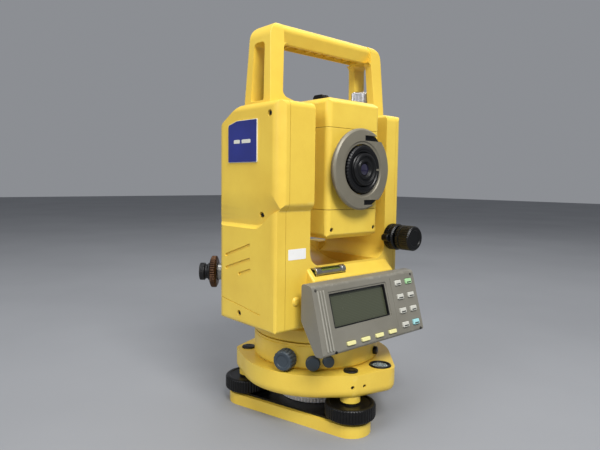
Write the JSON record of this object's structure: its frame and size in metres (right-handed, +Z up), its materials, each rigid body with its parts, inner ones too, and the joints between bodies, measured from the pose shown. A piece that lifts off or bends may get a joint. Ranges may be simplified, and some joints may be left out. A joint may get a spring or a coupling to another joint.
{
  "type": "surveying total station",
  "caption": "Electronic surveying instrument on a levelling tribrach: rotating alidade with a display and keys, tilting telescope, carrying handle and battery.",
  "frame": {"origin": "on the vertical axis, at the underside of the base plate", "axes": "+X to the right of an observer at the eyepiece, +Y the way the telescope looks, +Z up"},
  "size_m": [0.172, 0.165, 0.336],
  "materials": {
    "yellow_paint": "satin, slightly worn",
    "panel_grey": "fine moulded texture",
    "grip_grey": "satin",
    "black_plastic": "moulded, semi-matte",
    "slate_plastic": "moulded, semi-matte",
    "bright_steel": "turned and knurled",
    "chrome": "polished, knurled",
    "bronze": "dark, knurled",
    "optical_glass": "polished",
    "display_lcd": "dull olive behind a clear window",
    "blue_plate": "satin with a pale edge",
    "key_white": "matte",
    "circuit_board": "solder-masked"
  },
  "bodies": {
    "tribrach": {"base_plate": "yellow_paint", "tripod_hub": "bright_steel", "spring_plate": "black_plastic", "tribrach_body": "yellow_paint", "circular_level_housing": "black_plastic", "circular_level_vial": "optical_glass"},
    "foot_screw_1": {"foot_screw_1": "black_plastic"},
    "foot_screw_2": {"foot_screw_2": "black_plastic"},
    "foot_screw_3": {"foot_screw_3": "black_plastic"},
    "instrument_base": {"base_drum": "yellow_paint", "vertical_axis_spindle": "bright_steel", "horizontal_circle": "optical_glass"},
    "lock_knob": {"tribrach_lock_knob": "slate_plastic"},
    "serial_cap": {"serial_port_cap": "slate_plastic"},
    "power_cap": {"power_port_cap": "slate_plastic"},
    "alidade": {"alidade_frame": "yellow_paint", "left_side_cover": "yellow_paint", "name_plate": "blue_plate", "right_side_cover": "yellow_paint", "main_circuit_board": "circuit_board", "plate_level_housing": "bright_steel", "plate_level_vial": "optical_glass", "display_housing": "panel_grey", "display_window": "display_lcd", "plummet_tube": "bright_steel"},
    "plummet_ring": {"plummet_focusing_ring": "bronze"},
    "plummet_eye": {"plummet_eyepiece": "black_plastic"},
    "vertical_clamp": {"vertical_clamp_knob": "black_plastic"},
    "vertical_tangent": {"vertical_tangent_knob": "black_plastic"},
    "horizontal_clamp": {"horizontal_clamp_knob": "black_plastic"},
    "horizontal_tangent": {"horizontal_tangent_knob": "black_plastic"},
    "battery": {"battery": "yellow_paint"},
    "latch": {"battery_latch": "black_plastic"},
    "soft_key_1": {"soft_key_1": "key_white"},
    "soft_key_2": {"soft_key_2": "key_white"},
    "soft_key_3": {"soft_key_3": "key_white"},
    "soft_key_4": {"soft_key_4": "key_white"},
    "keypad_key_1": {"keypad_key_1": "key_white"},
    "keypad_key_2": {"keypad_key_2": "key_white"},
    "keypad_key_3": {"keypad_key_3": "key_white"},
    "keypad_key_4": {"keypad_key_4": "key_white"},
    "keypad_key_5": {"keypad_key_5": "key_white"},
    "keypad_key_6": {"keypad_key_6": "key_white"},
    "keypad_key_7": {"keypad_key_7": "key_white"},
    "keypad_key_8": {"keypad_key_8": "key_white"},
    "handle": {"carrying_handle": "yellow_paint"},
    "handle_screw_left": {"left_handle_screw": "chrome"},
    "handle_screw_right": {"right_handle_screw": "chrome"},
    "telescope": {"telescope_housing": "yellow_paint", "telescope_top_cover": "yellow_paint", "telescope_bottom_cover": "yellow_paint", "left_trunnion": "bright_steel", "right_trunnion": "bright_steel", "vertical_circle": "optical_glass", "objective_barrel": "yellow_paint", "objective_lens": "optical_glass", "telescope_grip": "grip_grey", "collimator_sight": "black_plastic"},
    "focus": {"focusing_knob": "black_plastic"},
    "eyepiece": {"eyepiece": "black_plastic"}
  },
  "joints": [
    {"name": "foot_screw_1_turn", "type": "hinge", "parent": "tribrach", "child": "foot_screw_1", "pos_m": [-0.04428, 0.04537, 0.0186], "axis": [0, 0, 1], "range_deg": [-1800, 1800]},
    {"name": "foot_screw_2_turn", "type": "hinge", "parent": "tribrach", "child": "foot_screw_2", "pos_m": [-0.01716, -0.06103, 0.0186], "axis": [0, 0, 1], "range_deg": [-1800, 1800]},
    {"name": "foot_screw_3_turn", "type": "hinge", "parent": "tribrach", "child": "foot_screw_3", "pos_m": [0.06144, 0.01566, 0.0186], "axis": [0, 0, 1], "range_deg": [-1800, 1800]},
    {"name": "instrument_lift", "type": "slide", "parent": "tribrach", "child": "instrument_base", "axis": [0, 0, 1], "range_m": [0, 0.06]},
    {"name": "lock_turn", "type": "hinge", "parent": "instrument_base", "child": "lock_knob", "pos_m": [0, 0, 0.0596], "axis": [-0.9205, -0.3907, 0], "range_deg": [0, 120]},
    {"name": "serial_cap_pull", "type": "slide", "parent": "instrument_base", "child": "serial_cap", "axis": [-0.7132, -0.7009, 0], "range_m": [0, 0.015]},
    {"name": "power_cap_pull", "type": "slide", "parent": "instrument_base", "child": "power_cap", "axis": [-0.5446, -0.8387, 0], "range_m": [0, 0.015]},
    {"name": "alidade_turn", "type": "hinge", "parent": "instrument_base", "child": "alidade", "pos_m": [0, 0, 0.0717], "axis": [0, 0, 1], "continuous": true},
    {"name": "telescope_tilt", "type": "hinge", "parent": "alidade", "child": "telescope", "pos_m": [0, 0, 0.218], "axis": [1, 0, 0], "continuous": true},
    {"name": "focus_turn", "type": "hinge", "parent": "telescope", "child": "focus", "pos_m": [0, -0.05, 0.218], "axis": [0, -1, 0], "range_deg": [-270, 270]},
    {"name": "eyepiece_turn", "type": "hinge", "parent": "telescope", "child": "eyepiece", "pos_m": [0, -0.055, 0.218], "axis": [0, -1, 0], "range_deg": [-200, 200]},
    {"name": "plummet_ring_turn", "type": "hinge", "parent": "alidade", "child": "plummet_ring", "pos_m": [0, 0, 0.123], "axis": [-0.7455, 0.6665, 0], "range_deg": [-120, 120]},
    {"name": "plummet_eye_turn", "type": "hinge", "parent": "alidade", "child": "plummet_eye", "pos_m": [0, 0, 0.123], "axis": [-0.7455, 0.6665, 0], "range_deg": [-180, 180]},
    {"name": "vertical_clamp_turn", "type": "hinge", "parent": "alidade", "child": "vertical_clamp", "pos_m": [0.054, -0.047, 0.1575], "axis": [0, -1, 0], "range_deg": [-90, 0]},
    {"name": "vertical_tangent_turn", "type": "hinge", "parent": "alidade", "child": "vertical_tangent", "pos_m": [0.054, -0.06, 0.1575], "axis": [0, -1, 0], "range_deg": [-1800, 1800]},
    {"name": "horizontal_clamp_turn", "type": "hinge", "parent": "alidade", "child": "horizontal_clamp", "pos_m": [0.073, -0.012, 0.103], "axis": [1, 0, 0], "range_deg": [-90, 0]},
    {"name": "horizontal_tangent_turn", "type": "hinge", "parent": "alidade", "child": "horizontal_tangent", "pos_m": [0.08, -0.012, 0.103], "axis": [1, 0, 0], "range_deg": [-1800, 1800]},
    {"name": "battery_pull", "type": "slide", "parent": "alidade", "child": "battery", "axis": [1, 0, 0], "range_m": [0, 0.04]},
    {"name": "latch_press", "type": "slide", "parent": "battery", "child": "latch", "axis": [0, 0, -1], "range_m": [0, 0.004], "stiffness_N_per_m": 400, "springref_m": -0.001},
    {"name": "soft_key_1_press", "type": "slide", "parent": "alidade", "child": "soft_key_1", "axis": [0, 0.9603, -0.2788], "range_m": [0, 0.001], "stiffness_N_per_m": 500, "springref_m": -0.0005},
    {"name": "soft_key_2_press", "type": "slide", "parent": "alidade", "child": "soft_key_2", "axis": [0, 0.9603, -0.2788], "range_m": [0, 0.001], "stiffness_N_per_m": 500, "springref_m": -0.0005},
    {"name": "soft_key_3_press", "type": "slide", "parent": "alidade", "child": "soft_key_3", "axis": [0, 0.9603, -0.2788], "range_m": [0, 0.001], "stiffness_N_per_m": 500, "springref_m": -0.0005},
    {"name": "soft_key_4_press", "type": "slide", "parent": "alidade", "child": "soft_key_4", "axis": [0, 0.9603, -0.2788], "range_m": [0, 0.001], "stiffness_N_per_m": 500, "springref_m": -0.0005},
    {"name": "keypad_key_1_press", "type": "slide", "parent": "alidade", "child": "keypad_key_1", "axis": [0, 0.9603, -0.2788], "range_m": [0, 0.001], "stiffness_N_per_m": 500, "springref_m": -0.0005},
    {"name": "keypad_key_2_press", "type": "slide", "parent": "alidade", "child": "keypad_key_2", "axis": [0, 0.9603, -0.2788], "range_m": [0, 0.001], "stiffness_N_per_m": 500, "springref_m": -0.0005},
    {"name": "keypad_key_3_press", "type": "slide", "parent": "alidade", "child": "keypad_key_3", "axis": [0, 0.9603, -0.2788], "range_m": [0, 0.001], "stiffness_N_per_m": 500, "springref_m": -0.0005},
    {"name": "keypad_key_4_press", "type": "slide", "parent": "alidade", "child": "keypad_key_4", "axis": [0, 0.9603, -0.2788], "range_m": [0, 0.001], "stiffness_N_per_m": 500, "springref_m": -0.0005},
    {"name": "keypad_key_5_press", "type": "slide", "parent": "alidade", "child": "keypad_key_5", "axis": [0, 0.9603, -0.2788], "range_m": [0, 0.001], "stiffness_N_per_m": 500, "springref_m": -0.0005},
    {"name": "keypad_key_6_press", "type": "slide", "parent": "alidade", "child": "keypad_key_6", "axis": [0, 0.9603, -0.2788], "range_m": [0, 0.001], "stiffness_N_per_m": 500, "springref_m": -0.0005},
    {"name": "keypad_key_7_press", "type": "slide", "parent": "alidade", "child": "keypad_key_7", "axis": [0, 0.9603, -0.2788], "range_m": [0, 0.001], "stiffness_N_per_m": 500, "springref_m": -0.0005},
    {"name": "keypad_key_8_press", "type": "slide", "parent": "alidade", "child": "keypad_key_8", "axis": [0, 0.9603, -0.2788], "range_m": [0, 0.001], "stiffness_N_per_m": 500, "springref_m": -0.0005},
    {"name": "handle_lift", "type": "slide", "parent": "alidade", "child": "handle", "axis": [0, 0, 1], "range_m": [0, 0.04]},
    {"name": "handle_screw_left_turn", "type": "hinge", "parent": "handle", "child": "handle_screw_left", "pos_m": [-0.054, 0, 0.28], "axis": [0, 0, 1], "range_deg": [0, 1800]},
    {"name": "handle_screw_right_turn", "type": "hinge", "parent": "handle", "child": "handle_screw_right", "pos_m": [0.054, 0, 0.28], "axis": [0, 0, 1], "range_deg": [0, 1800]}
  ]
}
